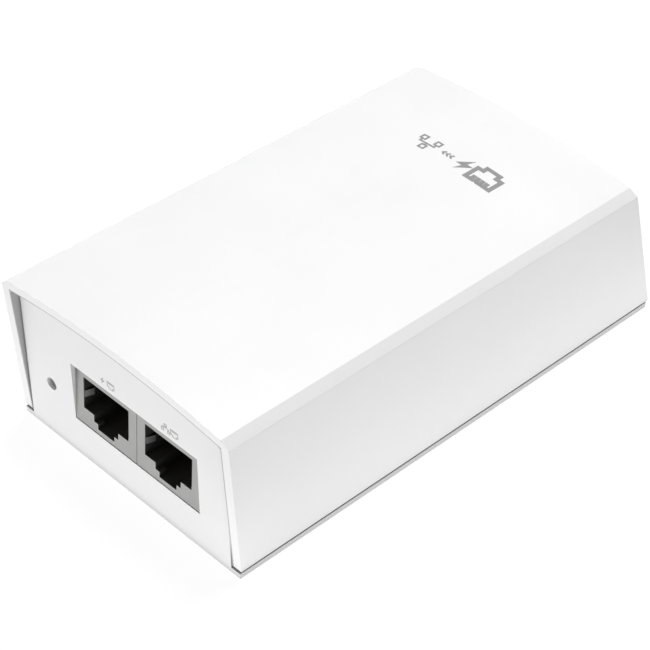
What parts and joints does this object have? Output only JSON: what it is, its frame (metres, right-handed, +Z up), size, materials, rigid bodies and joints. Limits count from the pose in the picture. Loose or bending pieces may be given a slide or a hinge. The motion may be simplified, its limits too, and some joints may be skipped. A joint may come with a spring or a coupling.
{
  "type": "poe injector",
  "caption": "Desktop power-over-Ethernet injector: arched white case with two shielded network jacks in front and a mains inlet under a raked rear cowl.",
  "frame": {"origin": "middle of the footprint, on the surface that the feet stand on", "axes": "+X across the front, +Y from the network jacks at the front to the mains inlet at the rear, +Z up"},
  "size_m": [0.0576, 0.1152, 0.0363],
  "materials": {
    "white_case": "fine satin moulding",
    "shield_plate": "tin-plated sheet, dull",
    "black_moulding": "moulded black plastic",
    "contact_gold": "gold flash over phosphor bronze",
    "blade_plate": "nickel-plated brass",
    "screw_steel": "zinc-plated steel",
    "foot_rubber": "soft grey rubber",
    "label_film": "blank polyester film",
    "clear_pipe": "smoked light pipe",
    "lamp_body": "diffused epoxy",
    "board_laminate": "green solder mask",
    "sheet_film": "translucent insulating film",
    "ferrite": "pressed ferrite",
    "bobbin_plastic": "moulded phenolic",
    "winding_tape": "yellow polyester tape",
    "copper_wire": "enamelled copper",
    "sink_aluminium": "rolled sheet",
    "can_sleeve": "shrink sleeve",
    "film_yellow": "boxed film capacitor",
    "disc_blue": "dipped epoxy",
    "disc_dark": "dipped epoxy",
    "chip_ceramic": "thick-film resistor"
  },
  "bodies": {
    "case": {"ac_inlet_housing": "black_moulding", "ac_inlet_pins": "blade_plate", "board_screws": "screw_steel", "bottom_case": "white_case", "bridge_rectifier": "black_moulding", "bulk_capacitor": "can_sleeve", "case_screws": "screw_steel", "controller_chip": "black_moulding", "data_transformers": "black_moulding", "filter_capacitor": "film_yellow", "fuse": "black_moulding", "heatsink_screws": "screw_steel", "inrush_thermistor": "disc_dark", "insulating_sheet": "sheet_film", "lan_jack_housing": "black_moulding", "lan_jack_leads": "contact_gold", "lan_jack_shield": "shield_plate", "light_pipe": "clear_pipe", "line_choke_core": "ferrite", "line_choke_windings": "copper_wire", "main_board": "board_laminate", "optocoupler": "black_moulding", "output_capacitors": "can_sleeve", "output_inductor": "black_moulding", "output_rectifier": "black_moulding", "poe_jack_housing": "black_moulding", "poe_jack_leads": "contact_gold", "poe_jack_shield": "shield_plate", "power_switch": "black_moulding", "rating_label": "label_film", "rear_panel": "white_case", "rectifier_heatsink": "sink_aluminium", "rubber_feet": "foot_rubber", "signal_resistors": "chip_ceramic", "status_lamp": "lamp_body", "surge_varistor": "disc_blue", "switch_heatsink": "sink_aluminium", "top_cover": "white_case", "transformer_bobbin": "bobbin_plastic", "transformer_core": "ferrite", "transformer_winding": "winding_tape", "y_capacitor": "disc_blue"},
    "poe_contacts": {"poe_jack_contacts": "contact_gold"},
    "lan_contacts": {"lan_jack_contacts": "contact_gold"}
  },
  "joints": [
    {"name": "poe_contact_flex", "type": "hinge", "parent": "case", "child": "poe_contacts", "pos_m": [-0.00547, -0.05078, 0.0207], "axis": [1, 0, 0], "range_deg": [0, 9], "stiffness_Nm_per_rad": 0.02},
    {"name": "lan_contact_flex", "type": "hinge", "parent": "case", "child": "lan_contacts", "pos_m": [0.01068, -0.05078, 0.0207], "axis": [1, 0, 0], "range_deg": [0, 9], "stiffness_Nm_per_rad": 0.02}
  ]
}
